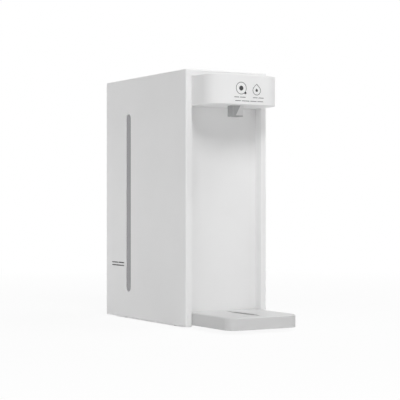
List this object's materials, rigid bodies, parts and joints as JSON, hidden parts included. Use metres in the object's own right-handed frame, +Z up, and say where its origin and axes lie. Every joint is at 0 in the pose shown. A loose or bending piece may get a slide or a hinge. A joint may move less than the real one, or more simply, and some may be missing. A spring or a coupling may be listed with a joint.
{
  "type": "instant hot water dispenser",
  "caption": "Slim countertop instant hot water dispenser with a lift-out rear tank, flush lid, side level window, round-cornered key head over a nozzle, and a slide-out drip tray.",
  "frame": {"origin": "on the table under the middle of the outline, drip tray included", "axes": "+Z up, front with nozzle and drip tray towards -Y, +X to the right seen from the front"},
  "size_m": [0.112, 0.2886, 0.302],
  "materials": {
    "white_abs": "satin moulded",
    "grey_abs": "satin moulded",
    "nozzle_grey": "semi-gloss moulded",
    "smoked_window": "translucent",
    "clear_tank": "clear",
    "gloss_black": "polished",
    "key_white": "satin",
    "rubber_black": "matte",
    "silicone": "satin",
    "steel": "plain",
    "nylon": "as moulded",
    "acetal_blue": "as moulded",
    "board_green": "solder mask",
    "cutout_black": "as moulded",
    "tape_yellow": "taped"
  },
  "bodies": {
    "housing": {"housing_shell": "white_abs", "level_window": "smoked_window", "front_panel": "white_abs", "rear_panel": "white_abs", "rear_screw_left": "steel", "rear_screw_right": "steel", "cord_gland": "rubber_black", "base_plate": "white_abs", "foot_front_left": "rubber_black", "foot_front_right": "rubber_black", "foot_rear_left": "rubber_black", "foot_rear_right": "rubber_black", "base_screw_left": "steel", "base_screw_right": "steel", "inner_frame": "nylon", "tank_seat": "nylon", "head_shell": "white_abs", "head_screw_left": "steel", "head_screw_right": "steel", "head_underside": "white_abs", "nozzle_shroud": "nozzle_grey", "spout_elbow": "silicone", "control_panel": "gloss_black", "control_board": "board_green", "key_mat": "silicone", "pump_housing": "nylon", "pump_motor": "steel", "pump_cradle": "rubber_black", "flow_meter": "nylon", "heater_tube": "steel", "heater_lower_cap": "nylon", "heater_upper_cap": "nylon", "heater_bracket": "steel", "thermal_cutout": "cutout_black", "outlet_thermistor": "steel", "inlet_hose": "silicone", "pump_hose": "silicone", "link_hose": "silicone", "outlet_hose": "silicone", "power_board": "board_green", "power_transformer": "tape_yellow", "control_cable": "rubber_black"},
    "tank": {"tank_body": "clear_tank", "tank_collar": "grey_abs", "lid_hinge_pin": "steel", "valve_body": "nylon", "valve_nut": "nylon", "valve_stem": "acetal_blue", "valve_spring": "steel", "valve_o_ring": "rubber_black", "tank_strainer": "acetal_blue"},
    "tank_lid": {"tank_lid": "white_abs"},
    "drip_tray": {"tray_basin": "grey_abs"},
    "tray_cover": {"tray_cover": "grey_abs"},
    "key_lock": {"key_lock": "key_white"},
    "key_temperature": {"key_temperature": "key_white"},
    "key_volume": {"key_volume": "key_white"},
    "key_dispense": {"key_dispense": "key_white"},
    "pump_rotor": {"pump_rotor": "acetal_blue"},
    "flow_rotor": {"flow_rotor": "acetal_blue"}
  },
  "joints": [
    {"name": "tank_lift", "type": "slide", "parent": "housing", "child": "tank", "axis": [0, 0, 1], "range_m": [0, 0.29]},
    {"name": "lid_hinge", "type": "hinge", "parent": "tank", "child": "tank_lid", "pos_m": [0, 0.13665, 0.29975], "axis": [-1, 0, 0], "range_deg": [0, 100]},
    {"name": "tray_slide", "type": "slide", "parent": "housing", "child": "drip_tray", "axis": [0, -1, 0], "range_m": [0, 0.09]},
    {"name": "tray_cover_lift", "type": "slide", "parent": "drip_tray", "child": "tray_cover", "axis": [0, 0, 1], "range_m": [0, 0.03]},
    {"name": "key_lock_press", "type": "slide", "parent": "housing", "child": "key_lock", "axis": [0, 0, -1], "range_m": [0, 0.0008], "stiffness_N_per_m": 400, "springref_m": -0.0005},
    {"name": "key_temperature_press", "type": "slide", "parent": "housing", "child": "key_temperature", "axis": [0, 0, -1], "range_m": [0, 0.0008], "stiffness_N_per_m": 400, "springref_m": -0.0005},
    {"name": "key_volume_press", "type": "slide", "parent": "housing", "child": "key_volume", "axis": [0, 0, -1], "range_m": [0, 0.0008], "stiffness_N_per_m": 400, "springref_m": -0.0005},
    {"name": "key_dispense_press", "type": "slide", "parent": "housing", "child": "key_dispense", "axis": [0, 0, -1], "range_m": [0, 0.0008], "stiffness_N_per_m": 400, "springref_m": -0.0005},
    {"name": "pump_rotor_spin", "type": "hinge", "parent": "housing", "child": "pump_rotor", "pos_m": [0.0335, 0.03, 0.0222], "axis": [0, 1, 0], "continuous": true},
    {"name": "flow_rotor_spin", "type": "hinge", "parent": "housing", "child": "flow_rotor", "pos_m": [0.004, 0.02, 0.07], "axis": [0, 1, 0], "continuous": true}
  ]
}
